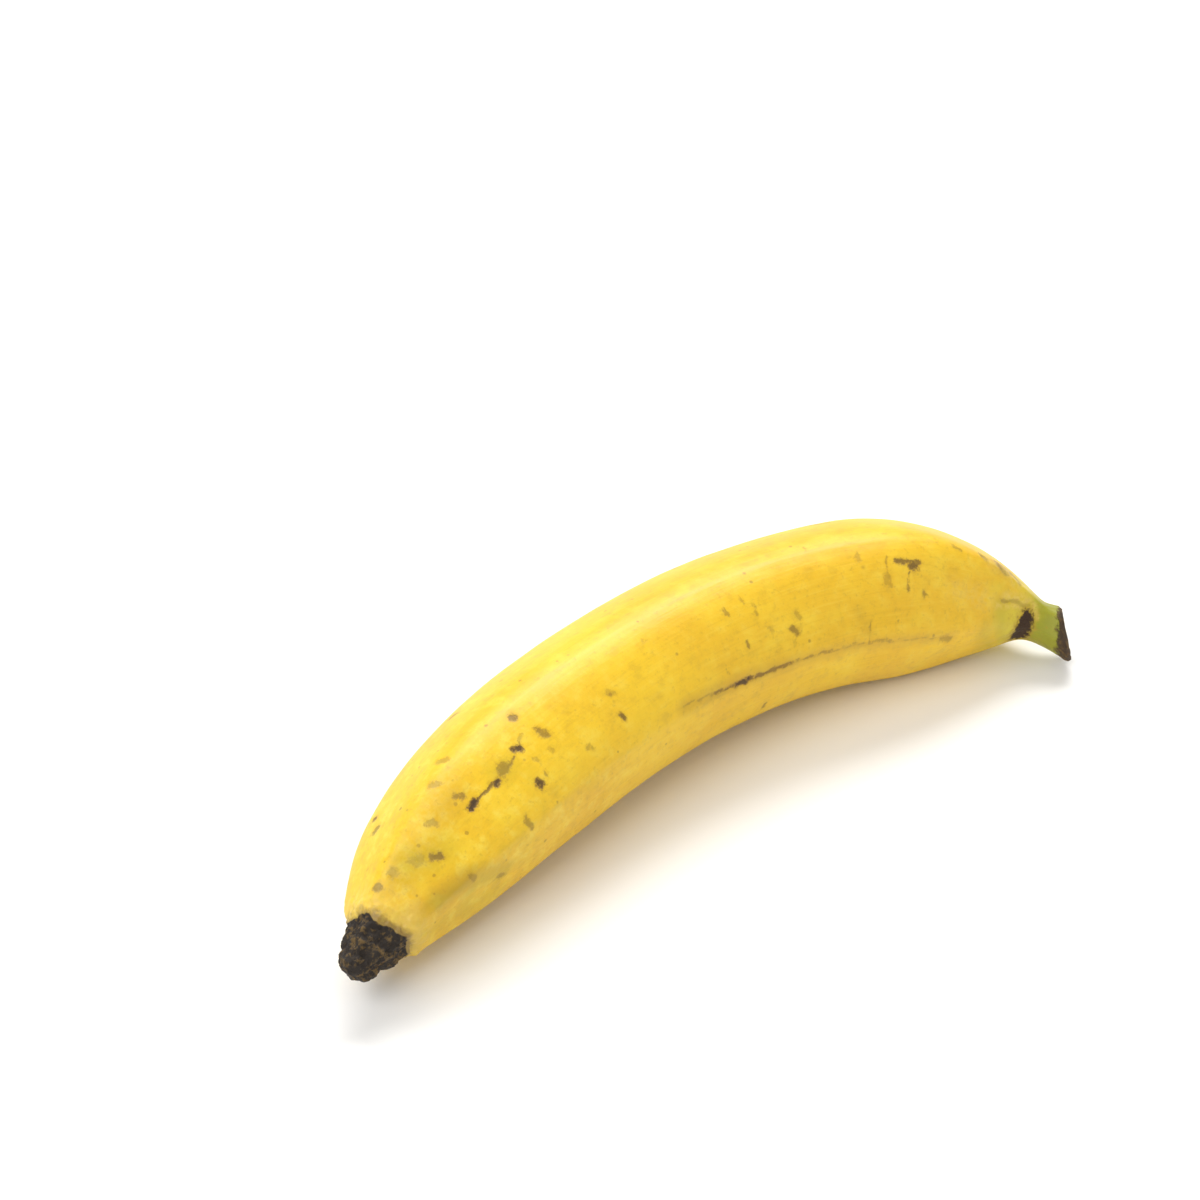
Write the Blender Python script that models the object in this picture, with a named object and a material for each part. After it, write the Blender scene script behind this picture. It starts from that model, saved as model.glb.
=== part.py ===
"""One ripe plantain, grown as one piece: a bent, tapering, ridged body with a
short cut stalk at one end and the dry black remnant of the blossom at the other.
Metres, +Z up. The fruit lies at rest on a level surface at Z = 0, on its slightly
flattened underside, with the bend lying down and both ends just off the surface."""

import math

import bmesh
import bpy
from mathutils import Matrix, Vector, noise
from mathutils.geometry import intersect_point_tri

# Length along the middle of the fruit, from the blossom remnant to the cut stalk
LENGTH = 0.263

# Bend of the middle line, in turns of the heading (radians) per metre of length
BEND_AT_BLOSSOM = 7.70
BEND_AT_MIDDLE = 3.79
BEND_AT_STALK = 15.8

# Slight extra bend where the neck passes into the stalk
NECK_KINK = 2.0
KINK_LENGTH = 0.020
KINK_BEFORE_STALK = 0.015

# Thickness of the body
BODY_RADIUS = 0.0236
BLOSSOM_END_RADIUS = 0.0085
SHOULDER_START = 0.012
SHOULDER_LENGTH = 0.084
SHOULDER_ROUNDNESS = 2.3
NECK_LENGTH = 0.062
NECK_FULLNESS = 0.36
NECK_BLENDING = 4.0

# Stalk: a short stub, slightly flared at a slanting cut that is shortest on the outer side
STALK_LENGTH = 0.0072
STALK_RADIUS = 0.0058
STALK_FLARE = 0.0004
FLARE_LENGTH = 0.008
CUT_SLANT = 0.72
CUT_SIDE = math.radians(140.0)
CUT_REACH = 0.012

# Steps in over the cut face and over the blossom tip: share of the ring and depth or rise
CUT_STEPS = ((0.72, 0.0004), (0.36, 0.0009))
TIP_STEPS = ((0.72, 0.0009), (0.36, 0.0014))
END_UNEVENNESS = 0.0006
END_GRAIN = 520.0

# Dry blossom remnant: a blunt, crusty, uneven tip that leans to the outer side
REMNANT_LENGTH = 0.015
REMNANT_END_RADIUS = 0.0040
REMNANT_TAPER = 0.9
REMNANT_LEAN = 0.0015
CRUST_HEIGHT = 0.0010
CRUST_GRAIN = 260.0
CRUST_FADE = 0.006

# Five uneven faces round the body, by the direction in which each one looks:
# 0 is the inner side of the bend and 90 is up
FACE_DIRECTIONS = [math.radians(angle) for angle in (-2.0, 68.0, 141.0, 215.0, 293.0)]
FACE_TWIST = math.radians(24.0)
RIDGE_EVENING = 1.022

# The ridges between the faces are blunt on the body and crisper at both ends
RIDGE_CRISPNESS = 4.2
END_CRISPNESS = 4.5
CRISP_REACH = 0.070
CRISP_CORE = 0.025
STALK_ROUNDNESS = 2.5

# Slight swelling and waviness of the grown surface
SURFACE_WAVE = 0.00035
WAVE_GRAIN = 34.0

# Depth to which the low spots are pressed flat by lying on the surface, and how far
# down the side that it lies on looks
REST_FLAT = 0.0005
LYING_SIDE = 0.7

# Mesh density
LINE_STEPS = 540
STATIONS = 62
END_STATIONS = 10
AROUND = 72

# Peel
PEEL_COLOUR = (0.83, 0.53, 0.045, 1.0)
PEEL_ROUGHNESS = 0.5


def smooth_step(start, stop, value):
    part = min(max((value - start) / (stop - start), 0.0), 1.0)
    return part * part * (3.0 - 2.0 * part)


def bend_at(along):
    """Bend of the middle line at a distance from the blossom end."""
    share = along / LENGTH
    blossom = BEND_AT_BLOSSOM * (1.0 - share) * (1.0 - 2.0 * share)
    middle = BEND_AT_MIDDLE * 4.0 * share * (1.0 - share)
    stalk = BEND_AT_STALK * share * (2.0 * share - 1.0)
    kink_place = LENGTH - STALK_LENGTH - KINK_BEFORE_STALK
    kink = NECK_KINK * math.exp(-((along - kink_place) / KINK_LENGTH) ** 2)
    return blossom + middle + stalk + kink


def middle_line():
    """Points and headings of the middle line, its chord turned onto +X and its bulge onto +Y."""
    step = LENGTH / LINE_STEPS
    points = [Vector((0.0, 0.0, 0.0))]
    headings = [0.0]
    for index in range(LINE_STEPS):
        near = bend_at(index * step)
        far = bend_at((index + 1) * step)
        turn = 0.5 * (near + far) * step
        mid_heading = headings[-1] - 0.5 * turn
        move = Vector((math.cos(mid_heading), math.sin(mid_heading), 0.0)) * step
        points.append(points[-1] + move)
        headings.append(headings[-1] - turn)
    chord = math.atan2(points[-1].y, points[-1].x)
    turn_back = Matrix.Rotation(-chord, 3, "Z")
    return [turn_back @ point for point in points], [heading - chord for heading in headings]


def line_at(points, headings, along):
    """Point and heading on the middle line, between its steps."""
    place = along / LENGTH * LINE_STEPS
    index = min(int(place), LINE_STEPS - 1)
    rest = place - index
    point = points[index].lerp(points[index + 1], rest)
    return point, headings[index] * (1.0 - rest) + headings[index + 1] * rest


def radius_at(along):
    """Mean radius of the body, the neck, the stalk or the blossom remnant."""
    if along < REMNANT_LENGTH:
        share = (along / REMNANT_LENGTH) ** REMNANT_TAPER
        remnant = REMNANT_END_RADIUS + (BLOSSOM_END_RADIUS - REMNANT_END_RADIUS) * share
        return remnant + (body_radius_at(along) - BLOSSOM_END_RADIUS) * share
    rim = LENGTH - FLARE_LENGTH
    return body_radius_at(along) + STALK_FLARE * smooth_step(rim, LENGTH, along)


def body_radius_at(along):
    rise = min(max((along - SHOULDER_START) / SHOULDER_LENGTH, 0.0), 1.0)
    fullness = 1.0 - (1.0 - rise) ** SHOULDER_ROUNDNESS
    body = BLOSSOM_END_RADIUS + (BODY_RADIUS - BLOSSOM_END_RADIUS) * fullness
    neck = smooth_step(0.0, NECK_LENGTH, LENGTH - STALK_LENGTH - along) ** NECK_FULLNESS
    return (STALK_RADIUS ** NECK_BLENDING + (body * neck) ** NECK_BLENDING) ** (1.0 / NECK_BLENDING)


def crispness_at(along):
    """How sharply the faces meet: crisper towards both ends, round on the stalk."""
    from_blossom = smooth_step(CRISP_REACH, CRISP_CORE, along)
    from_stalk = smooth_step(LENGTH - CRISP_REACH, LENGTH - CRISP_CORE, along)
    stalk = smooth_step(LENGTH - STALK_LENGTH - KINK_BEFORE_STALK, LENGTH, along)
    return RIDGE_CRISPNESS + END_CRISPNESS * (from_blossom + from_stalk) - STALK_ROUNDNESS * stalk


def face_factor(angle, along):
    """Distance of the skin from the middle line, as a share of the mean radius."""
    turned = angle - FACE_TWIST * (0.5 - along / LENGTH)
    power = crispness_at(along)
    total = sum(max(0.0, math.cos(turned - face)) ** power for face in FACE_DIRECTIONS)
    return total ** (-1.0 / power) / RIDGE_EVENING


def skin_point(points, headings, along, angle):
    """A point of the skin, with the crust of the blossom remnant and the slow waves of growth."""
    middle, heading = line_at(points, headings, along)
    inner = Vector((math.sin(heading), -math.cos(heading), 0.0))
    out = inner * math.cos(angle) + Vector((0.0, 0.0, math.sin(angle)))
    radius = radius_at(along) * face_factor(angle, along)
    axis = Vector((math.cos(heading), math.sin(heading), 0.0))
    cut_back = CUT_SLANT * smooth_step(LENGTH - CUT_REACH, LENGTH, along) * math.cos(angle - CUT_SIDE)
    lean = REMNANT_LEAN * max(0.0, 1.0 - along / REMNANT_LENGTH) ** 2
    base = middle + out * radius - axis * (cut_back * radius) - inner * lean
    wave = SURFACE_WAVE * noise.noise(base * WAVE_GRAIN)
    crust = 1.0 - smooth_step(REMNANT_LENGTH - CRUST_FADE, REMNANT_LENGTH + CRUST_FADE, along)
    grain = CRUST_HEIGHT * crust * noise.fractal(base * CRUST_GRAIN, 0.8, 2.0, 3)
    return base + out * (wave + grain)


def station_list():
    """Distances of the rings, closer together at the blossom remnant and at the cut."""
    ends = [REMNANT_LENGTH * index / END_STATIONS for index in range(END_STATIONS)]
    stalk_from = LENGTH - FLARE_LENGTH
    middle_count = STATIONS - END_STATIONS - 4
    middle = [
        REMNANT_LENGTH + (stalk_from - REMNANT_LENGTH) * index / middle_count
        for index in range(middle_count)
    ]
    rim = [stalk_from + FLARE_LENGTH * index / 3.0 for index in range(4)]
    return ends + middle + rim


def ring_middle(ring):
    return sum(ring, Vector((0.0, 0.0, 0.0))) / len(ring)


def weight_point(rings):
    """Centre of weight, from each ring's middle, thickness and distance to the next ring."""
    total = 0.0
    moment = Vector((0.0, 0.0, 0.0))
    for near, far in zip(rings, rings[1:]):
        here = ring_middle(near)
        there = ring_middle(far)
        across = sum((point - here).length for point in near) / len(near)
        share = across * across * (there - here).length
        total += share
        moment += 0.5 * share * (here + there)
    return moment / total


def lay_down(rings):
    """Turns the fruit onto the side of its hull on which it lies steadily under its own weight."""
    weight = weight_point(rings)
    hull = bmesh.new()
    for ring in rings:
        for point in ring:
            hull.verts.new(point)
    bmesh.ops.convex_hull(hull, input=hull.verts)
    bmesh.ops.recalc_face_normals(hull, faces=hull.faces)
    steady = []
    for face in hull.faces:
        corners = [vertex.co for vertex in face.verts]
        height = face.normal.dot(corners[0] - weight)
        foot = weight + face.normal * height
        if face.normal.z < -LYING_SIDE and intersect_point_tri(foot, *corners):
            steady.append((height, face.normal.copy()))
    hull.free()
    underside = min(steady, key=lambda side: side[0])[1]
    turn = underside.rotation_difference(Vector((0.0, 0.0, -1.0)))
    return [[turn @ point for point in ring] for ring in rings]


def centre_and_flatten(rings):
    """Centres the fruit over the origin and presses its low spots flat on Z = 0."""
    everything = [point for ring in rings for point in ring]
    middle_x = 0.5 * (min(p.x for p in everything) + max(p.x for p in everything))
    middle_y = 0.5 * (min(p.y for p in everything) + max(p.y for p in everything))
    floor = min(p.z for p in everything) + REST_FLAT
    shift = Vector((middle_x, middle_y, floor))
    moved = [[point - shift for point in ring] for ring in rings]
    return [[Vector((p.x, p.y, max(p.z, 0.0))) for p in ring] for ring in moved]


def drawn_in(ring, share, rise, outward):
    """A ring drawn in towards its middle and moved along the end, slightly uneven."""
    middle = ring_middle(ring)
    drawn = []
    for point in ring:
        flat = middle + (point - middle) * share
        uneven = END_UNEVENNESS * noise.noise(flat * END_GRAIN)
        drawn.append(flat + outward * (rise + uneven))
    return drawn


def build_rings():
    points, headings = middle_line()
    rings = []
    for along in station_list():
        angles = [math.tau * index / AROUND for index in range(AROUND)]
        rings.append([skin_point(points, headings, along, angle) for angle in angles])
    return centre_and_flatten(lay_down(rings))


def grow(mesh, place, edges, ring):
    """Extrudes the open end of the skin and sets the new ring's points by their place round it."""
    grown = bmesh.ops.extrude_edge_only(mesh, edges=edges)["geom"]
    for vertex in grown:
        if isinstance(vertex, bmesh.types.BMVert):
            vertex.co = ring[vertex[place]]
    return [edge for edge in grown if isinstance(edge, bmesh.types.BMEdge)]


def close_end(mesh, edges):
    """Draws the last ring of an end together in its middle."""
    verts = list({vertex for edge in edges for vertex in edge.verts})
    middle = ring_middle([vertex.co for vertex in verts])
    bmesh.ops.pointmerge(mesh, verts=verts, merge_co=middle)


def build_plantain():
    rings = build_rings()
    stalk_out = (ring_middle(rings[-1]) - ring_middle(rings[-2])).normalized()
    tip_out = (ring_middle(rings[0]) - ring_middle(rings[1])).normalized()

    mesh = bmesh.new()
    place = mesh.verts.layers.int.new("place round the fruit")
    bmesh.ops.create_circle(mesh, cap_ends=False, segments=AROUND, radius=BLOSSOM_END_RADIUS)
    mesh.verts.ensure_lookup_table()
    for index, vertex in enumerate(mesh.verts):
        vertex[place] = index
        vertex.co = rings[0][index]
    first = list(mesh.edges)

    edges = first
    for ring in rings[1:]:
        edges = grow(mesh, place, edges, ring)
    for share, depth in CUT_STEPS:
        edges = grow(mesh, place, edges, drawn_in(rings[-1], share, -depth, stalk_out))
    close_end(mesh, edges)

    edges = first
    for share, depth in TIP_STEPS:
        edges = grow(mesh, place, edges, drawn_in(rings[0], share, depth, tip_out))
    close_end(mesh, edges)
    bmesh.ops.recalc_face_normals(mesh, faces=mesh.faces)

    data = bpy.data.meshes.new("plantain")
    mesh.to_mesh(data)
    mesh.free()
    data.shade_smooth()
    data.materials.append(peel_material())
    body = bpy.data.objects.new("plantain", data)
    bpy.context.scene.collection.objects.link(body)


def peel_material():
    peel = bpy.data.materials.new("peel")
    peel.use_nodes = True
    surface = peel.node_tree.nodes["Principled BSDF"]
    surface.inputs["Base Color"].default_value = PEEL_COLOUR
    surface.inputs["Roughness"].default_value = PEEL_ROUGHNESS
    surface.inputs["Metallic"].default_value = 0.0
    return peel


for leftover in list(bpy.data.objects):
    bpy.data.objects.remove(leftover, do_unlink=True)

build_plantain()
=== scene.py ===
import math

import bmesh
import bpy
from mathutils import Matrix, Vector, noise


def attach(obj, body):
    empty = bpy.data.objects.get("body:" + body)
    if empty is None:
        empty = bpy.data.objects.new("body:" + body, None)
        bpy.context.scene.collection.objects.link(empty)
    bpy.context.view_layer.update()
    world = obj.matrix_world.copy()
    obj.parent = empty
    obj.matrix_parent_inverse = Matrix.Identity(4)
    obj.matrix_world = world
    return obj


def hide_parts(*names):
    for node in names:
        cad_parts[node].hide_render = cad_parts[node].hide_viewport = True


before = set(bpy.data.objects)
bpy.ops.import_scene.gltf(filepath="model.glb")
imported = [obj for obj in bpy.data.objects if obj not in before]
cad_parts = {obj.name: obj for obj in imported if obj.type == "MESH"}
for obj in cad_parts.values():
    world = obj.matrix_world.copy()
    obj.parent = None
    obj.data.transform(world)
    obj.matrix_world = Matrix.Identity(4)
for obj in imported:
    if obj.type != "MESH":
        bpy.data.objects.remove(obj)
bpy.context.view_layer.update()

# Plantain: the middle line.
# One grown fruit, bent most where the neck passes into the stalk.
# Places are metres along the middle line, from the blossom end to the cut.
FRUIT_LENGTH = 0.263
BEND_AT_BLOSSOM = 7.70
BEND_AT_MIDDLE = 3.79
BEND_AT_STALK = 15.8
NECK_KINK = 2.0
KINK_LENGTH = 0.020
KINK_BEFORE_STALK = 0.015
STALK_LENGTH = 0.0072
LINE_STEPS = 540


def smooth_step(start, stop, value):
    part = min(max((value - start) / (stop - start), 0.0), 1.0)
    return part * part * (3.0 - 2.0 * part)


def bend_at(along):
    share = along / FRUIT_LENGTH
    blossom = BEND_AT_BLOSSOM * (1.0 - share) * (1.0 - 2.0 * share)
    middle = BEND_AT_MIDDLE * 4.0 * share * (1.0 - share)
    stalk = BEND_AT_STALK * share * (2.0 * share - 1.0)
    kink_place = FRUIT_LENGTH - STALK_LENGTH - KINK_BEFORE_STALK
    kink = NECK_KINK * math.exp(-((along - kink_place) / KINK_LENGTH) ** 2)
    return blossom + middle + stalk + kink


def middle_line():
    step = FRUIT_LENGTH / LINE_STEPS
    points = [Vector((0.0, 0.0, 0.0))]
    headings = [0.0]
    for index in range(LINE_STEPS):
        turn = 0.5 * (bend_at(index * step) + bend_at((index + 1) * step)) * step
        heading = headings[-1] - 0.5 * turn
        points.append(points[-1] + Vector((math.cos(heading), math.sin(heading), 0.0)) * step)
        headings.append(headings[-1] - turn)
    chord = math.atan2(points[-1].y, points[-1].x)
    turn_back = Matrix.Rotation(-chord, 3, "Z")
    return [turn_back @ point for point in points], [heading - chord for heading in headings]


line_points, line_headings = middle_line()


def line_at(along):
    place = min(max(along, 0.0), FRUIT_LENGTH) / FRUIT_LENGTH * LINE_STEPS
    index = min(int(place), LINE_STEPS - 1)
    rest = place - index
    point = line_points[index].lerp(line_points[index + 1], rest)
    return point, line_headings[index] * (1.0 - rest) + line_headings[index + 1] * rest


# Plantain: thickness and faces.
# The body has five uneven faces with blunt ridges between them. It swells from the
# dry blossom remnant, thins to the neck and ends in a short, round, slantwise cut stalk.
BODY_RADIUS = 0.0236
BLOSSOM_END_RADIUS = 0.0085
SHOULDER_START = 0.012
SHOULDER_LENGTH = 0.084
SHOULDER_ROUNDNESS = 2.3
NECK_LENGTH = 0.062
NECK_FULLNESS = 0.36
NECK_BLENDING = 4.0
STALK_RADIUS = 0.0058
STALK_FLARE = 0.0004
FLARE_LENGTH = 0.008
CUT_SLANT = 0.72
CUT_SIDE = math.radians(140.0)
CUT_REACH = 0.012
REMNANT_LENGTH = 0.015
REMNANT_END_RADIUS = 0.0040
REMNANT_TAPER = 0.9
REMNANT_LEAN = 0.0015
FACE_DIRECTIONS = [math.radians(angle) for angle in (-2.0, 68.0, 141.0, 215.0, 293.0)]
FACE_TWIST = math.radians(24.0)
RIDGE_EVENING = 1.022
RIDGE_CRISPNESS = 4.2
END_CRISPNESS = 4.5
CRISP_REACH = 0.070
CRISP_CORE = 0.025
STALK_ROUNDNESS = 2.5
RIDGE_BREADTH = 0.16


def body_radius_at(along):
    rise = min(max((along - SHOULDER_START) / SHOULDER_LENGTH, 0.0), 1.0)
    fullness = 1.0 - (1.0 - rise) ** SHOULDER_ROUNDNESS
    body = BLOSSOM_END_RADIUS + (BODY_RADIUS - BLOSSOM_END_RADIUS) * fullness
    neck = smooth_step(0.0, NECK_LENGTH, FRUIT_LENGTH - STALK_LENGTH - along) ** NECK_FULLNESS
    return (STALK_RADIUS ** NECK_BLENDING + (body * neck) ** NECK_BLENDING) ** (1.0 / NECK_BLENDING)


def radius_at(along):
    if along < REMNANT_LENGTH:
        share = (along / REMNANT_LENGTH) ** REMNANT_TAPER
        remnant = REMNANT_END_RADIUS + (BLOSSOM_END_RADIUS - REMNANT_END_RADIUS) * share
        return remnant + (body_radius_at(along) - BLOSSOM_END_RADIUS) * share
    flare = STALK_FLARE * smooth_step(FRUIT_LENGTH - FLARE_LENGTH, FRUIT_LENGTH, along)
    return body_radius_at(along) + flare


def crispness_at(along):
    from_blossom = smooth_step(CRISP_REACH, CRISP_CORE, along)
    from_stalk = smooth_step(FRUIT_LENGTH - CRISP_REACH, FRUIT_LENGTH - CRISP_CORE, along)
    stalk = smooth_step(FRUIT_LENGTH - STALK_LENGTH - KINK_BEFORE_STALK, FRUIT_LENGTH, along)
    return RIDGE_CRISPNESS + END_CRISPNESS * (from_blossom + from_stalk) - STALK_ROUNDNESS * stalk


def turned_back(angle, along):
    return angle - FACE_TWIST * (0.5 - along / FRUIT_LENGTH)


def face_factor(angle, along):
    turned = turned_back(angle, along)
    power = crispness_at(along)
    total = sum(max(0.0, math.cos(turned - face)) ** power for face in FACE_DIRECTIONS)
    return total ** (-1.0 / power) / RIDGE_EVENING


def ridge_nearness(angle, along):
    """1 on a ridge between two faces, 0 away from it."""
    turned = turned_back(angle, along)
    facing = sorted((math.cos(turned - face) for face in FACE_DIRECTIONS), reverse=True)
    return max(0.0, 1.0 - (facing[0] - facing[1]) / RIDGE_BREADTH)


# Plantain: its marks.
# Ripe peel bruises brown where it was knocked or rubbed. Some tan and olive strokes
# below are painted shade, and one pale stroke is a painted highlight. Each mark is a stroke
# from one place to another: millimetres along and degrees round the fruit, twice, then half its
# breadth in millimetres and its strength.
BLOSSOM_DOTS = (
    (47.5, 80, 49, 81, 1.0, 1.0), (49, 81, 57, 80, 0.4, 0.6), (57, 79, 57.6, 79, 1.0, 0.9),
    (60, 82, 62, 82, 1.5, 0.4), (62.5, 81, 67, 85, 0.35, 0.45), (67, 87, 68.5, 84, 0.9, 0.9),
    (70, 88, 72, 90, 0.5, 0.2), (74, 102, 74, 104, 1.1, 0.55), (76, 85, 77, 80, 1.1, 0.45),
    (66, 59, 66.3, 57, 1.1, 0.85), (47, 95, 48, 91, 0.9, 0.45), (45.5, 114, 46.5, 110, 0.9, 0.3),
    (53, 122, 54, 118, 1.1, 0.25), (37, 101, 38, 96, 0.9, 0.3), (31, 80, 32.5, 75, 1.1, 0.55),
    (28, 92, 29, 88, 1.6, 0.2), (17.5, 115, 18, 112, 1.0, 0.6), (22, 107, 23, 104, 1.1, 0.3),
    (34, 43, 35, 39, 1.0, 0.25), (43, 18, 44.5, 13, 1.1, 0.3), (56, 46, 57, 39, 0.9, 0.35),
    (69.5, 62, 69.5, 60, 0.6, 0.3), (69.5, 73, 70, 71, 0.6, 0.2), (75, 71, 75.5, 68, 0.7, 0.2),
    (99, 60, 99.5, 57, 1.0, 0.65), (100, 77, 101, 74, 0.9, 0.2), (85, 55, 85.5, 53, 0.9, 0.25),
)
BODY_SCRATCHES = (
    (145, 84, 145.5, 78, 0.5, 0.3), (151, 87, 151.5, 82, 0.5, 0.2), (154, 78, 153.5, 71, 0.6, 0.25),
    (147, 57, 147, 54, 0.6, 0.4), (155.5, 60, 156, 56, 0.7, 0.15), (163, 53, 164, 50, 1.1, 0.45),
    (166, 63, 166.5, 59, 1.0, 0.22), (162, 45, 162, 42, 0.7, 0.12), (152, 0, 152, -5, 0.7, 0.4),
    (137, 47, 137.5, 44, 0.6, 0.2), (178, 106, 178, 104, 0.6, 0.25), (118, 92, 119, 90, 0.6, 0.15),
)
NECK_SCAR = (
    (202, 81, 209.5, 79, 0.7, 0.6), (206.5, 77, 208.5, 76, 1.0, 0.7), (205.5, 72, 205, 60, 0.4, 0.4),
    (205, 63, 205, 60, 0.7, 0.4), (210, 58, 210.5, 56, 0.9, 0.35), (199.5, 84, 198.5, 70, 0.35, 0.25),
    (198, 70, 198, 66, 1.4, 0.2), (191, 90, 191, 86, 0.7, 0.2), (190, 44, 189, 29, 0.35, 0.25),
    (231, 101, 232.5, 98, 0.8, 0.45), (237, 98, 239.5, 96, 1.0, 0.6), (241.5, 104, 244, 98, 1.0, 0.6),
    (222, 97, 224, 95, 0.7, 0.25), (236, 104, 246, 110, 0.5, 0.4), (239.5, 60, 249, 72, 0.6, 0.4),
)
RIDGE_RUB = (
    (119, 40, 131, 36, 0.4, 0.2), (131, 36, 139, 34, 0.5, 0.5), (139, 34, 144, 33.5, 0.8, 0.95),
    (144, 33.5, 150, 32.5, 0.5, 0.55), (150, 32.5, 160, 31, 0.55, 0.5), (160, 31, 175, 30, 0.4, 0.3),
    (175, 30, 192, 28, 0.35, 0.2), (192, 28, 198, 26, 0.5, 0.25), (198, 26, 216, 24, 0.3, 0.15),
    (218, 22, 221, 20, 1.2, 0.25),
)
FAR_SIDE_MARKS = (
    (34, 160, 35, 156, 1.1, 0.4), (38, 172, 38.5, 169, 0.8, 0.6), (52, 190, 55, 188, 0.9, 0.85),
    (55, 188, 63, 196, 0.4, 0.5), (63, 197, 63.5, 194, 1.1, 0.8), (58, 204, 58.5, 202, 0.9, 0.35),
    (71, 158, 72, 154, 1.0, 0.3), (83, 214, 83.5, 211, 1.3, 0.6), (88, 166, 88.5, 164, 0.7, 0.4),
    (96, 178, 112, 176, 0.35, 0.25), (112, 176, 119, 174, 0.5, 0.5), (119, 174, 122, 173, 0.8, 0.8),
    (132, 203, 132.5, 197, 0.6, 0.3), (141, 188, 141.5, 186, 1.0, 0.5),
    (149, 160, 149.5, 154, 0.6, 0.4), (158, 231, 164, 229, 0.5, 0.4),
    (164, 229, 165, 228, 1.0, 0.6), (176, 188, 176.5, 185, 1.2, 0.45),
    (189, 148, 193, 145, 0.5, 0.4), (205, 205, 205.5, 201, 1.0, 0.3), (213, 172, 220, 170, 0.35, 0.3),
    (231, 190, 233, 184, 0.7, 0.5), (66, 262, 66.5, 258, 1.1, 0.4), (104, 283, 118, 285, 0.5, 0.3),
    (184, 268, 184.5, 264, 1.2, 0.35), (226, 240, 232, 238, 0.5, 0.4),
)
BROWN_MARKS = BLOSSOM_DOTS + BODY_SCRATCHES + NECK_SCAR + RIDGE_RUB + FAR_SIDE_MARKS
# Olive strokes: green patches of the peel itself, and painted shade on the neck's side by the crease
# (the two strokes from 236 and 241 mm) and on the lower face and ridge at the blossom end (the
# strokes from 15 and 22 mm).
OLIVE_TINTS_AND_SHADE = (
    (25, 95, 34, 76, 3.5, 0.4), (35, 34, 44, 18, 3.0, 0.45), (60, 83, 62, 82, 3.0, 0.35),
    (241, 40, 246, -10, 3.0, 0.8), (236, 20, 241, -20, 3.0, 0.4), (28, 215, 40, 200, 4.0, 0.5),
    (15, 22, 42, -4, 4.0, 0.3), (22, 48, 36, 34, 1.6, 0.35),
)
# Tan strokes: browning along the ridges, drying beside the blossom remnant, wrinkles and scuffs on
# the neck, and, in the first three, a painted shade band along the ridge that runs up from the
# blossom remnant.
TAN_TINTS_AND_SHADE = (
    (15, 58, 24, 48, 2.0, 0.55), (24, 48, 34, 40, 2.6, 0.7), (34, 40, 46, 24, 1.8, 0.35),
    (119, 39, 160, 31, 1.8, 0.5), (160, 31, 222, 22, 1.5, 0.35), (41, 96, 50, 104, 4.0, 0.2),
    (186, 52, 190, 30, 1.6, 0.2), (236, 98, 246, 106, 2.0, 0.5), (94, 178, 122, 172, 2.0, 0.4),
    (12, 56, 13.5, 0, 1.8, 1.0), (12, 0, 13, -60, 1.4, 0.7), (239, 58, 248, 70, 1.8, 0.5),
)
# Pale strokes: scuffs on the neck and stalk, pale patches near the blossom end, and a painted
# highlight on the neck's front face, the stroke from 222 to 234 mm.
PALE_TINTS_AND_HIGHLIGHT = (
    (250.8, 76, 252.6, 56, 0.8, 0.8), (240, 68, 248.5, 80, 0.9, 0.6), (238, 52, 246, 60, 0.8, 0.5),
    (233, 98, 236, 95, 1.2, 0.5), (239, 99, 243, 93, 1.5, 0.6), (243, 104, 247, 100, 1.0, 0.6),
    (222, 60, 234, 56, 3.0, 0.3), (30, 100, 46, 108, 4.0, 0.3), (17, 70, 22, 100, 3.0, 0.35),
)
MILLIMETRE = 0.001
MARK_FADE = 1.9
NEAR_REACHES = 2.0
WANDER = 0.0007
WANDER_GRAIN = 380.0
WANDER_APART = Vector((31.7, 12.3, 7.9))


def stroke_distance(along, angle, scale, stroke):
    """Distance over the peel, in metres, from a place to the nearest point of a stroke."""
    from_along, from_round, to_along, to_round = stroke[:4]
    start = Vector((MILLIMETRE * from_along, math.radians(from_round) * scale))
    run = Vector((MILLIMETRE * to_along, math.radians(to_round) * scale)) - start
    middle = math.radians(0.5 * (from_round + to_round))
    spot = Vector((along, (math.remainder(angle - middle, math.tau) + middle) * scale))
    share = 0.0
    if run.length_squared > 0.0:
        share = min(max((spot - start).dot(run) / run.length_squared, 0.0), 1.0)
    return (spot - start - run * share).length


def nearest_stroke(strokes, along, angle):
    """How deep a place lies in the strokes, 1 on the line of one and 0 at its edge, and
    the strength of the one it lies deepest in."""
    scale = max(radius_at(min(max(along, 0.0), FRUIT_LENGTH)), STALK_RADIUS)
    depth = -1.0
    strength = 0.0
    for stroke in strokes:
        from_along, _, to_along, _, half_breadth, stroke_strength = stroke
        reach = MILLIMETRE * half_breadth * MARK_FADE
        middle = 0.5 * MILLIMETRE * (from_along + to_along)
        half_run = 0.5 * MILLIMETRE * abs(to_along - from_along)
        if abs(along - middle) > NEAR_REACHES * reach + half_run:
            continue
        here = 1.0 - stroke_distance(along, angle, scale, stroke) / reach
        if here > depth:
            depth = here
            strength = stroke_strength
    return depth, strength


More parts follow.
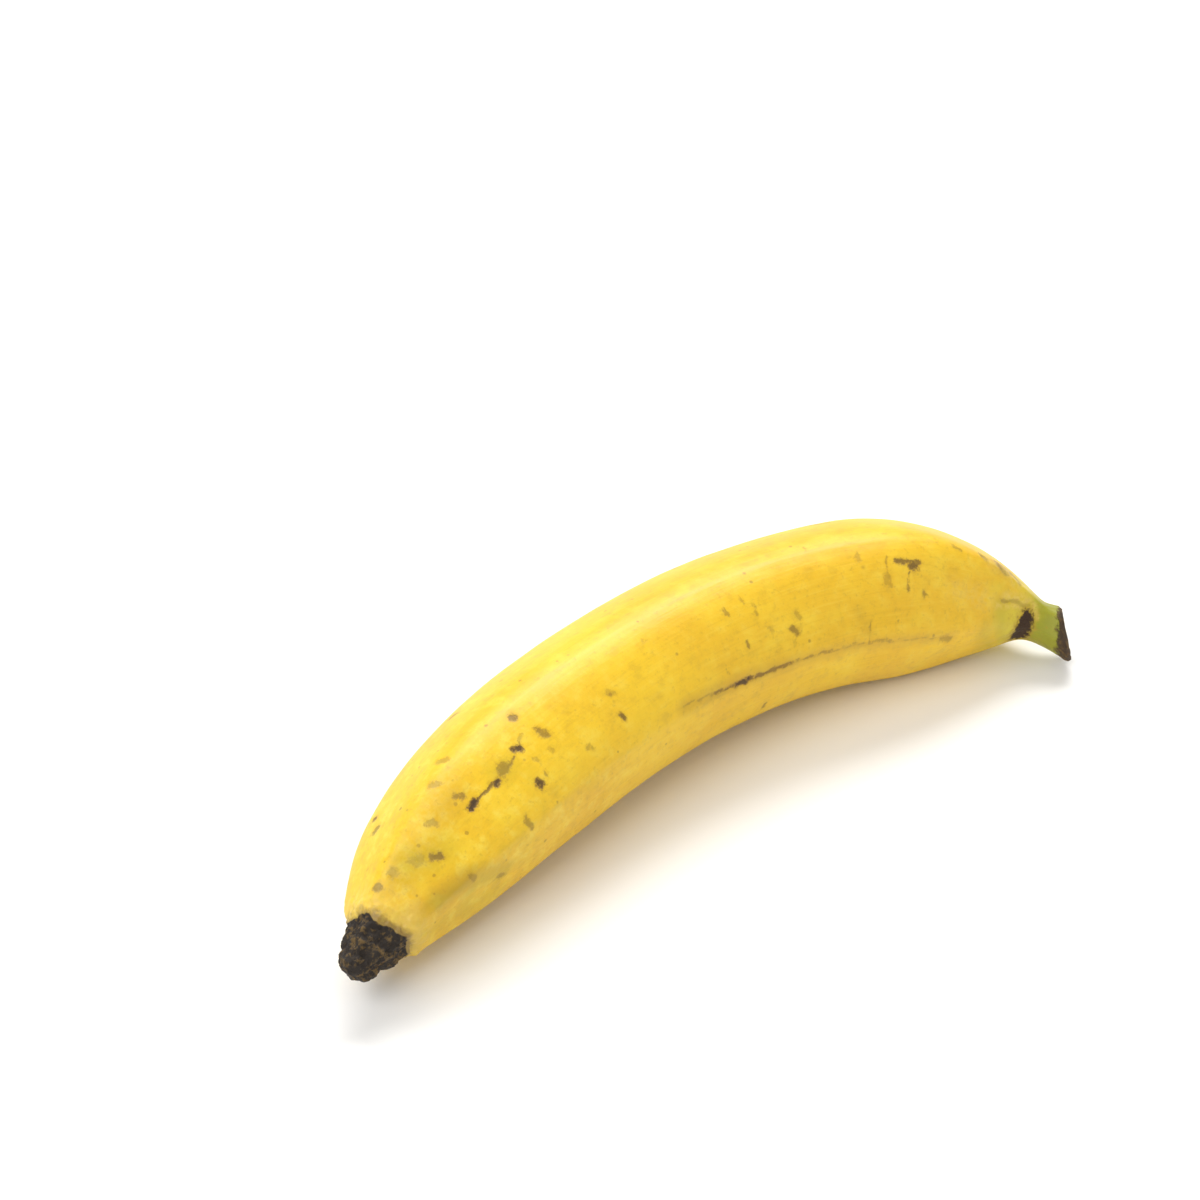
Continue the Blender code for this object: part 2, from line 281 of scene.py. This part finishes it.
# Plantain: relief of the peel.
# Slow swellings from growth, a low crest on each ridge, fibres that stand out on the thin
# neck, a hollow where the neck creased, and a crust on the dead end, under the peel's edge.
SURFACE_WAVE = 0.00035
WAVE_GRAIN = 34.0
CREST_HEIGHT = 0.00028
CREST_GRAIN = 70.0
CREST_EVENNESS = 0.6
PEEL_DIMPLE = 0.00007
DIMPLE_GRAIN = 150.0
MARK_SINK = 0.00016
MARK_BRINK = 0.1
MARK_BOTTOM = 0.8
FIBRE_HEIGHT = 0.00034
FIBRE_GRAIN = 330.0
FIBRE_STRETCH = 0.07
FIBRE_REACH = 0.045
CRUST_HEIGHT = 0.0010
CRUST_GRAIN = 260.0
CRUST_FADE = 0.006
CRUST_SMOOTHNESS = 0.8
CRUST_OCTAVES = 5
OCTAVE_STEP = 2.0
PEEL_EDGE = 0.0117
PEEL_EDGE_WANDER = 0.0010
PEEL_EDGE_GRAIN = 210.0
PEEL_EDGE_SMOOTHNESS = 0.9
PEEL_EDGE_OCTAVES = 3
PEEL_EDGE_WIDTH = 0.0005
PEEL_THICKNESS = 0.0004
CREASE_ALONG = 0.2497
CREASE_HALF_LENGTH = 0.0029
CREASE_ROUND = math.radians(12.0)
CREASE_HALF_ROUND = math.radians(56.0)
CREASE_DEPTH = 0.0008
RIM_REACH = 0.0030
RIM_CURL = 0.0006
RIM_GRAIN = 420.0
RIM_EVENNESS = 0.5
RIM_ROUNDING = 0.0014
ROUNDING_REACH = 0.0022


def crease_at(along, angle):
    """Strength of the dark crease on the inner side of the neck's bend."""
    away = math.remainder(angle - CREASE_ROUND, math.tau) / CREASE_HALF_ROUND
    off = (along - CREASE_ALONG) / CREASE_HALF_LENGTH
    return math.exp(-(off * off) - away * away * away * away)


def dead_at(straight):
    """1 on the dead blossom remnant, 0 on the living peel, along a wandering edge."""
    spot = straight * PEEL_EDGE_GRAIN
    wavering = noise.fractal(spot, PEEL_EDGE_SMOOTHNESS, OCTAVE_STEP, PEEL_EDGE_OCTAVES)
    edge = PEEL_EDGE + PEEL_EDGE_WANDER * wavering
    return 1.0 - smooth_step(edge - PEEL_EDGE_WIDTH, edge + PEEL_EDGE_WIDTH, straight.x)


def bare_point(along, angle):
    """A point of the form without its relief, the way out of the fruit there, and the
    point's place on the straightened fruit."""
    middle, heading = line_at(along)
    inner = Vector((math.sin(heading), -math.cos(heading), 0.0))
    axis = Vector((math.cos(heading), math.sin(heading), 0.0))
    out = inner * math.cos(angle) + Vector((0.0, 0.0, math.sin(angle)))
    radius = radius_at(along) * face_factor(angle, along)
    cut_back = CUT_SLANT * smooth_step(FRUIT_LENGTH - CUT_REACH, FRUIT_LENGTH, along)
    cut_back = cut_back * math.cos(angle - CUT_SIDE) * radius
    lean = REMNANT_LEAN * max(0.0, 1.0 - along / REMNANT_LENGTH) ** 2
    base = middle + out * radius - axis * cut_back - inner * lean
    straight = Vector((along, radius * math.cos(angle), radius * math.sin(angle)))
    return base, out, straight


def skin_point(along, angle):
    """A point of the peel before the fruit is laid down, and its place on the straightened
    fruit."""
    base, out, straight = bare_point(along, angle)
    wave = SURFACE_WAVE * noise.noise(base * WAVE_GRAIN)
    crust = 1.0 - smooth_step(REMNANT_LENGTH - CRUST_FADE, REMNANT_LENGTH + CRUST_FADE, along)
    lumps = noise.fractal(base * CRUST_GRAIN, CRUST_SMOOTHNESS, OCTAVE_STEP, CRUST_OCTAVES)
    step_in = PEEL_THICKNESS * dead_at(straight)
    neck = smooth_step(FRUIT_LENGTH - STALK_LENGTH - FIBRE_REACH, FRUIT_LENGTH - STALK_LENGTH, along)
    strands = Vector((straight.x * FIBRE_STRETCH, straight.y, straight.z)) * FIBRE_GRAIN
    fibre = FIBRE_HEIGHT * neck * noise.noise(strands)
    dimple = PEEL_DIMPLE * noise.noise(straight * DIMPLE_GRAIN) * (1.0 - crust)
    crest_share = CREST_EVENNESS + noise.noise(straight * CREST_GRAIN)
    crest = ridge_nearness(angle, along) ** 2 * crest_share
    depth, strength = nearest_stroke(BROWN_MARKS, along, angle)
    sunken = MARK_SINK * strength * smooth_step(MARK_BRINK, MARK_BOTTOM, depth)
    crease = CREASE_DEPTH * crease_at(along, angle)
    rim_share = RIM_EVENNESS + noise.noise(straight * RIM_GRAIN)
    rim = smooth_step(FRUIT_LENGTH - RIM_REACH, FRUIT_LENGTH, along) * rim_share
    past = min(max((along - FRUIT_LENGTH + ROUNDING_REACH) / ROUNDING_REACH, 0.0), 1.0)
    rounding = RIM_ROUNDING * (1.0 - math.sqrt(1.0 - past * past))
    relief = wave + CRUST_HEIGHT * crust * lumps - step_in + fibre + dimple
    relief = relief + RIM_CURL * rim - rounding
    relief += CREST_HEIGHT * (1.0 - crust) * crest
    return base + out * (relief - sunken - crease), straight


# Plantain: the mesh.
# A flat sheet is rolled round the middle line, finest at the blossom remnant and the
# stalk, drawn in over the dead tip and over the sunken cut, and joined along its seam.
AROUND = 200
TIP_COLUMNS = 12
REMNANT_COLUMNS = 60
BODY_COLUMNS = 300
STALK_COLUMNS = 50
CUT_COLUMNS = 14
BODY_FROM = 0.018
STALK_FROM = 0.244
TIP_RISE = 0.0014
CUT_HOLLOW = 0.0010
CUT_ROUGHNESS = 0.0007
CUT_GRAIN = 520.0
CUT_MARGIN = 0.0001
RIM_SHARPNESS = 6
SEAM_GAP = 0.000001
LYING_DOWN = Vector((0.014180, -0.329984, -0.943880))
REST_FLAT = 0.0005


def column_list():
    """Place along the fruit, share of the full ring, and rise past the end, ring by ring."""
    columns = []
    for index in range(TIP_COLUMNS):
        share = math.sin(0.5 * math.pi * index / TIP_COLUMNS)
        columns.append((0.0, share, TIP_RISE * (1.0 - share * share)))
    spans = (
        (0.0, BODY_FROM, REMNANT_COLUMNS),
        (BODY_FROM, STALK_FROM, BODY_COLUMNS),
        (STALK_FROM, FRUIT_LENGTH, STALK_COLUMNS),
    )
    for start, stop, count in spans:
        for index in range(count):
            columns.append((start + (stop - start) * index / count, 1.0, 0.0))
    for index in range(CUT_COLUMNS + 1):
        share = math.cos(0.5 * math.pi * index / CUT_COLUMNS)
        columns.append((FRUIT_LENGTH, share, -CUT_HOLLOW * (1.0 - share ** RIM_SHARPNESS)))
    return columns


def end_point(along, angle, share, rise):
    """A point on the dead tip or on the cut face, drawn in from the ring at that end."""
    edge, straight = skin_point(along, angle)
    middle, heading = line_at(along)
    outward = Vector((math.cos(heading), math.sin(heading), 0.0))
    if along == 0.0:
        outward = -outward
        middle = middle - Vector((math.sin(heading), -math.cos(heading), 0.0)) * REMNANT_LEAN
    inner = middle + (edge - middle) * share
    away_from_rim = 1.0 - share ** RIM_SHARPNESS
    rough = CUT_ROUGHNESS * noise.noise(inner * CUT_GRAIN) * away_from_rim
    place = Vector((straight.x, straight.y * share, straight.z * share))
    return inner + outward * (rise + rough), place


columns = column_list()
skin = bmesh.new()
bmesh.ops.create_grid(skin, x_segments=len(columns) - 1, y_segments=AROUND, size=0.5)
straight_layer = skin.verts.layers.float_vector.new("straight")
round_layer = skin.verts.layers.float.new("round")
share_layer = skin.verts.layers.float.new("share")
lay_down = LYING_DOWN.rotation_difference(Vector((0.0, 0.0, -1.0)))
for vertex in skin.verts:
    column = round((vertex.co.x + 0.5) * (len(columns) - 1))
    angle = math.tau * (round((vertex.co.y + 0.5) * AROUND) % AROUND) / AROUND
    along, share, rise = columns[column]
    if share < 1.0:
        place, straight = end_point(along, angle, share, rise)
    else:
        place, straight = skin_point(along, angle)
    vertex.co = lay_down @ place
    vertex[straight_layer] = straight
    vertex[round_layer] = angle
    vertex[share_layer] = share
bmesh.ops.remove_doubles(skin, verts=skin.verts, dist=SEAM_GAP)

lows = [min(vertex.co[axis] for vertex in skin.verts) for axis in range(3)]
highs = [max(vertex.co[axis] for vertex in skin.verts) for axis in range(3)]
floor_level = lows[2] + REST_FLAT
shift = Vector((-0.5 * (lows[0] + highs[0]), -0.5 * (lows[1] + highs[1]), -floor_level))
bmesh.ops.translate(skin, verts=skin.verts, vec=shift)
for vertex in skin.verts:
    vertex.co.z = max(vertex.co.z, 0.0)
bmesh.ops.recalc_face_normals(skin, faces=skin.faces)

fields = ("brown", "brown_strength", "olive", "tan", "pale", "ridge", "crease", "dead", "cut")
layers = {name: skin.verts.layers.float.new(name) for name in fields}
for vertex in skin.verts:
    straight = vertex[straight_layer]
    along = straight.x
    angle = vertex[round_layer]
    spot = straight * WANDER_GRAIN
    off_along = along + WANDER * noise.noise(spot)
    off_round = WANDER * noise.noise(spot + WANDER_APART)
    off_angle = angle + off_round / max(radius_at(along), STALK_RADIUS)
    depth, strength = nearest_stroke(BROWN_MARKS, off_along, off_angle)
    vertex[layers["brown"]] = depth
    vertex[layers["brown_strength"]] = strength
    for name, shades in (("olive", OLIVE_TINTS_AND_SHADE), ("tan", TAN_TINTS_AND_SHADE), ("pale", PALE_TINTS_AND_HIGHLIGHT)):
        depth, strength = nearest_stroke(shades, off_along, off_angle)
        vertex[layers[name]] = max(depth, 0.0) * strength
    vertex[layers["ridge"]] = ridge_nearness(angle, along)
    vertex[layers["crease"]] = crease_at(along, angle)
    vertex[layers["dead"]] = dead_at(straight)
    at_cut = along > FRUIT_LENGTH - CUT_MARGIN
    vertex[layers["cut"]] = 1.0 - vertex[share_layer] if at_cut else 0.0

plantain_mesh = bpy.data.meshes.new("ripe_plantain")
skin.to_mesh(plantain_mesh)
skin.free()
plantain_mesh.shade_smooth()
plantain = bpy.data.objects.new("ripe_plantain", plantain_mesh)
bpy.context.scene.collection.objects.link(plantain)


# Plantain: the peel's finish.
# Ripe golden peel with a soft waxy gloss, faint lengthwise fibres and brown freckles,
# greening to the stalk, and a dead, crusty, nearly black blossom end and cut.
class Finish:
    """One value of a finish. Its sums, differences and products add Math nodes."""

    def __init__(self, tree, socket=None):
        self.tree = tree
        self.socket = socket

    def node(self, kind, settings, values, output=0):
        """Any node: its settings first, then the values or links of its sockets."""
        made = self.tree.nodes.new(kind)
        for name, value in settings.items():
            setattr(made, name, value)
        for name, value in values.items():
            if isinstance(value, Finish):
                self.tree.links.new(value.socket, made.inputs[name])
            else:
                made.inputs[name].default_value = value
        return Finish(self.tree, made.outputs[output])

    def maths(self, operation, other, swapped=False):
        pair = (other, self) if swapped else (self, other)
        return self.node("ShaderNodeMath", {"operation": operation}, {0: pair[0], 1: pair[1]})

    def __add__(self, other):
        return self.maths("ADD", other)

    def __radd__(self, other):
        return self.maths("ADD", other, True)

    def __sub__(self, other):
        return self.maths("SUBTRACT", other)

    def __rsub__(self, other):
        return self.maths("SUBTRACT", other, True)

    def __mul__(self, other):
        return self.maths("MULTIPLY", other)

    def __rmul__(self, other):
        return self.maths("MULTIPLY", other, True)

    def most(self, other):
        return self.maths("MAXIMUM", other)

    def least(self, other):
        return self.maths("MINIMUM", other)

    def between(self, start, stop):
        """0 below start and 1 above stop, with a soft change between them."""
        settings = {"interpolation_type": "SMOOTHSTEP"}
        values = {"Value": self, "From Min": start, "From Max": stop}
        return self.node("ShaderNodeMapRange", settings, values)

    def swing(self, amount):
        """How far a grain is from its middle, stretched to an amount."""
        return (self - 0.5) * amount

    def blend(self, colour, other):
        """The first colour where this value is 0 and the other where it is 1."""
        settings = {"data_type": "RGBA"}
        return self.node("ShaderNodeMix", settings, {0: self, 6: colour, 7: other}, 2)


def colour(red, green, blue):
    """A colour as the eye reads it, 0 to 255, in the light values that a finish takes."""
    parts = []
    for value in (red, green, blue):
        share = value / 255.0
        parts.append(share / 12.92 if share <= 0.04045 else ((share + 0.055) / 1.055) ** 2.4)
    return (*parts, 1.0)


GOLDEN = colour(238, 195, 10)
DEEP_GOLD = colour(230, 182, 3)
LEMON = colour(242, 208, 44)
PALE_PEEL = colour(244, 218, 80)
TAN = colour(176, 134, 14)
OLIVE = colour(178, 160, 10)
FRECKLE_BROWN = colour(146, 104, 4)
BRUISE_BROWN = colour(68, 44, 2)
DRY_BROWN = colour(96, 68, 30)
NECK_GREEN = colour(214, 196, 44)
STALK_GREEN = colour(146, 146, 8)
# Pale cream of the peel's rim by the blossom remnant, also used for the painted highlight on the
# neck.
PALE_RIM_AND_HIGHLIGHT = colour(234, 204, 100)
DEAD_BLACK = colour(28, 16, 2)
DEAD_BROWN = colour(104, 80, 36)
CREASE_BROWN = colour(56, 32, 3)
CUT_BROWN = colour(60, 42, 20)
CUT_TAN = colour(132, 102, 58)

FRECKLED_END = (0.13, 0.03)
GREEN_NECK = (0.230, 0.258)
GREEN_STALK = (0.244, 0.256)
PALE_EDGE = (0.021, 0.012)
DRY_EDGE = (0.0140, 0.0116)
DRIED_CUT = (0.2596, 0.2612)
CUT_TILT = 0.2
FIBRE_DIRECTION = (0.05, 1.0, 1.0)
CHANCE_STEP = 0.02
DOT_SOFTNESS = 0.05
DOT_RAGGEDNESS = 0.16
PEEL_ROUGHNESS = 0.47
MOTTLED_ROUGHNESS = 0.14
BRUISE_DULLNESS = 0.15
DEAD_DULLNESS = 0.35
FINE_BUMP = 0.0003
PIT_BUMP = 0.0008
GLOSS = 0.62
GLOW = 0.08
GLOW_REACH = (0.004, 0.002, 0.0006)

peel = bpy.data.materials.new("ripe_peel")
peel.use_nodes = True
surface = peel.node_tree.nodes["Principled BSDF"]
start = Finish(peel.node_tree)


def attribute(name, output=2):
    return start.node("ShaderNodeAttribute", {"attribute_name": name}, {}, output)


def grain(vector, scale, detail=3.0, roughness=0.5):
    values = {"Vector": vector, "Scale": scale, "Detail": detail, "Roughness": roughness}
    return start.node("ShaderNodeTexNoise", {"noise_dimensions": "3D"}, values)


def freckle_layer(scale, plain, dense, size, spread):
    """Round dots in some cells of a random pattern, in more of them near the blossom end."""
    cells = {"Vector": straight, "Scale": scale, "Randomness": 1.0}
    away = start.node("ShaderNodeTexVoronoi", {"feature": "F1"}, cells, 0)
    draw = start.node("ShaderNodeTexVoronoi", {"feature": "F1"}, cells, 1)
    chance = start.node("ShaderNodeSeparateColor", {}, {"Color": draw}, 0)
    size_chance = start.node("ShaderNodeSeparateColor", {}, {"Color": draw}, 1)
    anywhere = chance.between(plain, plain + CHANCE_STEP)
    by_blossom = near_blossom * chance.between(dense, dense + CHANCE_STEP)
    past_dot = away + speckle.swing(DOT_RAGGEDNESS) - size_chance * spread - size
    dot = 1.0 - past_dot.between(-DOT_SOFTNESS, DOT_SOFTNESS)
    return dot * anywhere.most(by_blossom)


straight = attribute("straight", 1)
along = start.node("ShaderNodeSeparateXYZ", {}, {"Vector": straight}, 0)
inward = start.node("ShaderNodeSeparateXYZ", {}, {"Vector": straight}, 1)
drawn_out = {0: straight, 1: FIBRE_DIRECTION}
stretched = start.node("ShaderNodeVectorMath", {"operation": "MULTIPLY"}, drawn_out)
broad = grain(straight, 30.0, 2.0)
patchy = grain(straight, 90.0, 3.0, 0.55)
mottle = grain(straight, 240.0, 4.0, 0.6)
speckle = grain(straight, 620.0, 3.0, 0.6)
flecks = grain(straight, 1700.0, 3.0, 0.65)
fibres = grain(stretched, 1100.0, 2.0, 0.6)

near_blossom = along.between(*FRECKLED_END)

# The gold itself, paler and browner in patches and along the fibres.
skin_colour = broad.between(0.35, 0.65).blend(DEEP_GOLD, GOLDEN)
for where, amount, tint in (
    (patchy.between(0.48, 0.7), 0.4, LEMON),
    (mottle.between(0.5, 0.8), 0.3, PALE_PEEL),
    (mottle.between(0.5, 0.25), 0.25, TAN),
    (fibres.between(0.52, 0.8), 0.2, PALE_PEEL),
    (fibres.between(0.48, 0.25), 0.12, TAN),
    (near_blossom * mottle.between(0.48, 0.68), 0.45, PALE_PEEL),
    (near_blossom * speckle.between(0.5, 0.3), 0.3, DEEP_GOLD),
    (near_blossom * patchy.between(0.5, 0.32), 0.2, OLIVE),
):
    skin_colour = (where * amount).blend(skin_colour, tint)

# Wear on the ridges, rubbed and bruised places, olive and tan strokes that are partly painted shade,
# and freckles.
ridge_wear = attribute("ridge").between(0.6, 1.0) * (patchy + mottle.swing(0.5)).between(0.45, 0.7)
tan = attribute("tan")
# Tan strokes: partly real wear and drying, partly a painted shade band at the blossom end.
rubbed_and_shaded = (tan + mottle.swing(0.3) * tan.between(0.0, 0.2)).least(1.0)
freckles = freckle_layer(scale=280.0, plain=0.88, dense=0.62, size=0.09, spread=0.08)
blots = freckle_layer(scale=120.0, plain=0.93, dense=0.78, size=0.05, spread=0.07)
strength = attribute("brown_strength")
ragged = attribute("brown") + speckle.swing(1.1) + flecks.swing(0.7)
halo = ragged.between(-0.1, 0.6) * strength
spot = ragged.between(0.25, 0.6) * strength * 0.7
core = ragged.between(0.42, 0.78) * strength
for where, tint in (
    (ridge_wear * 0.4, TAN),
    (rubbed_and_shaded, TAN),
    # Olive: green patches, and painted shade on the neck's side and at the blossom end.
    (attribute("olive").least(1.0), OLIVE),
    (freckles * 0.55, FRECKLE_BROWN),
    (blots * 0.55, FRECKLE_BROWN),
    (halo * 0.5, TAN),
    (spot, FRECKLE_BROWN),
    (core, BRUISE_BROWN),
):
    skin_colour = where.blend(skin_colour, tint)

# The green neck with its dark crease, and the peel that dries towards the dead tip.
greening = (along + patchy.swing(0.030)).between(*GREEN_NECK)
green = (along + mottle.swing(0.008)).between(*GREEN_STALK).blend(NECK_GREEN, STALK_GREEN)
crease = attribute("crease") + speckle.swing(1.0) + flecks.swing(0.5)
creased = crease.between(0.35, 0.65)
drying_place = along + mottle.swing(0.006) + speckle.swing(0.002)
dead = (attribute("dead") + speckle.swing(0.3)).between(0.3, 0.7)
for where, tint in (
    (greening * (1.0 - spot), green),
    # Pale scuffs, and a painted highlight on the neck's front face.
    (attribute("pale") * speckle.between(0.3, 0.6), PALE_RIM_AND_HIGHLIGHT),
    (crease.between(0.0, 0.5) * 0.6, TAN),
    (creased, CREASE_BROWN),
    ((along + mottle.swing(0.010)).between(*PALE_EDGE) * 0.45, PALE_RIM_AND_HIGHLIGHT),
    (drying_place.between(*DRY_EDGE) * 0.7, DRY_BROWN),
    (dead, (speckle.between(0.48, 0.68) * 0.9).blend(DEAD_BLACK, DEAD_BROWN)),
):
    skin_colour = where.blend(skin_colour, tint)

# The dried cut, tan between its dark pores.
cut = attribute("cut")
cut_place = along + inward * CUT_TILT + speckle.swing(0.005)
dried = cut_place.between(*DRIED_CUT).most(cut.between(0.0, 0.02))
cut_colour = speckle.between(0.45, 0.75).blend(CUT_BROWN, DEAD_BROWN)
cut_colour = (cut.between(0.1, 0.5) * mottle.between(0.3, 0.6) * 0.8).blend(cut_colour, CUT_TAN)
cut_colour = (cut.between(0.05, 0.2) * flecks.between(0.54, 0.64)).blend(cut_colour, DEAD_BLACK)
skin_colour = dried.blend(skin_colour, cut_colour)

# Gloss and grain: the dead parts are dull and pitted.
dull = dead.most(dried).most(creased)
roughness = PEEL_ROUGHNESS + mottle.swing(MOTTLED_ROUGHNESS)
roughness = roughness + core * BRUISE_DULLNESS + dull * DEAD_DULLNESS
fine_height = fibres * 0.6 + speckle * 0.25
fine_values = {"Strength": 0.35, "Distance": FINE_BUMP, "Height": fine_height}
fine = start.node("ShaderNodeBump", {}, fine_values)
pit_height = speckle * (0.04 + dull * 0.9) - core * 0.2
pit_values = {"Strength": 0.8, "Distance": PIT_BUMP, "Height": pit_height, "Normal": fine}
pitted = start.node("ShaderNodeBump", {}, pit_values)

links = peel.node_tree.links
links.new(skin_colour.socket, surface.inputs["Base Color"])
links.new(roughness.socket, surface.inputs["Roughness"])
links.new(pitted.socket, surface.inputs["Normal"])
surface.inputs["Specular IOR Level"].default_value = GLOSS
surface.inputs["Subsurface Weight"].default_value = GLOW
surface.inputs["Subsurface Radius"].default_value = GLOW_REACH
surface.inputs["Subsurface Scale"].default_value = 1.0
plantain_mesh.materials.append(peel)

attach(plantain, "root")
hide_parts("plantain")

# Floor.
# A wide, plain sheet of pale, matt paper, on which the fruit lies and where its soft
# shadow falls.
FLOOR_HALF = 3.0
FLOOR_WHITE = colour(248, 247, 245)
FLOOR_ROUGHNESS = 0.8

floor = bmesh.new()
bmesh.ops.create_grid(floor, x_segments=1, y_segments=1, size=FLOOR_HALF)
floor_mesh = bpy.data.meshes.new("floor")
floor.to_mesh(floor_mesh)
floor.free()
floor_sheet = bpy.data.objects.new("floor", floor_mesh)
bpy.context.scene.collection.objects.link(floor_sheet)
paper = bpy.data.materials.new("pale_paper")
paper.use_nodes = True
paper_surface = paper.node_tree.nodes["Principled BSDF"]
paper_surface.inputs["Base Color"].default_value = FLOOR_WHITE
paper_surface.inputs["Roughness"].default_value = FLOOR_ROUGHNESS
floor_mesh.materials.append(paper)

# Light.
# A bright room, a wide soft panel beyond the fruit, whose sheen lies along its top, a soft
# lamp above and to the left, and a weak one to the right that fills the shade. Each lamp
# has its place, width, height and watts.
ROOM_LIGHT = 0.51
ROOM_WHITE = (1.0, 0.99, 0.97, 1.0)
LAMPS = (
    ("beyond", Vector((0.48, 0.65, 1.01)), 1.3, 0.55, 15.5),
    ("near", Vector((-0.75, -0.15, 0.85)), 0.8, 0.8, 5.8),
    ("right", Vector((0.56, -0.77, 0.55)), 0.8, 0.8, 0.8),
)

world = bpy.data.worlds.new("room")
world.use_nodes = True
background = world.node_tree.nodes["Background"]
background.inputs["Color"].default_value = ROOM_WHITE
background.inputs["Strength"].default_value = ROOM_LIGHT
bpy.context.scene.world = world

for name, place, width, height, power in LAMPS:
    lamp_data = bpy.data.lights.new(name, "AREA")
    lamp_data.shape = "ELLIPSE"
    lamp_data.size = width
    lamp_data.size_y = height
    lamp_data.energy = power
    lamp = bpy.data.objects.new(name, lamp_data)
    bpy.context.scene.collection.objects.link(lamp)
    lamp.location = place
    lamp.rotation_mode = "QUATERNION"
    lamp.rotation_quaternion = (-place).to_track_quat("-Z", "Y")
bpy.context.scene.view_settings.view_transform = "Standard"

# Camera.
# It looks down on the fruit from the side of the blossom end, across the inner side
# of the bend.
CAMERA_TURN = math.radians(35.5)
CAMERA_HEIGHT = math.radians(38.0)
CAMERA_DISTANCE = 0.8468
CAMERA_LENS = 85.0
FILM_WIDTH = 36.0
AIM_ACROSS = -0.0203
AIM_AWAY = 0.0737

ahead = Vector((math.sin(CAMERA_TURN), math.cos(CAMERA_TURN), 0.0))
across = Vector((math.cos(CAMERA_TURN), -math.sin(CAMERA_TURN), 0.0))
aim = across * AIM_ACROSS + ahead * AIM_AWAY
looking = ahead * math.cos(CAMERA_HEIGHT) - Vector((0.0, 0.0, math.sin(CAMERA_HEIGHT)))
camera_data = bpy.data.cameras.new("camera")
camera_data.lens = CAMERA_LENS
camera_data.sensor_width = FILM_WIDTH
camera = bpy.data.objects.new("camera", camera_data)
bpy.context.scene.collection.objects.link(camera)
camera.location = aim - looking * CAMERA_DISTANCE
camera.rotation_mode = "QUATERNION"
camera.rotation_quaternion = looking.to_track_quat("-Z", "Y")
bpy.context.scene.camera = camera
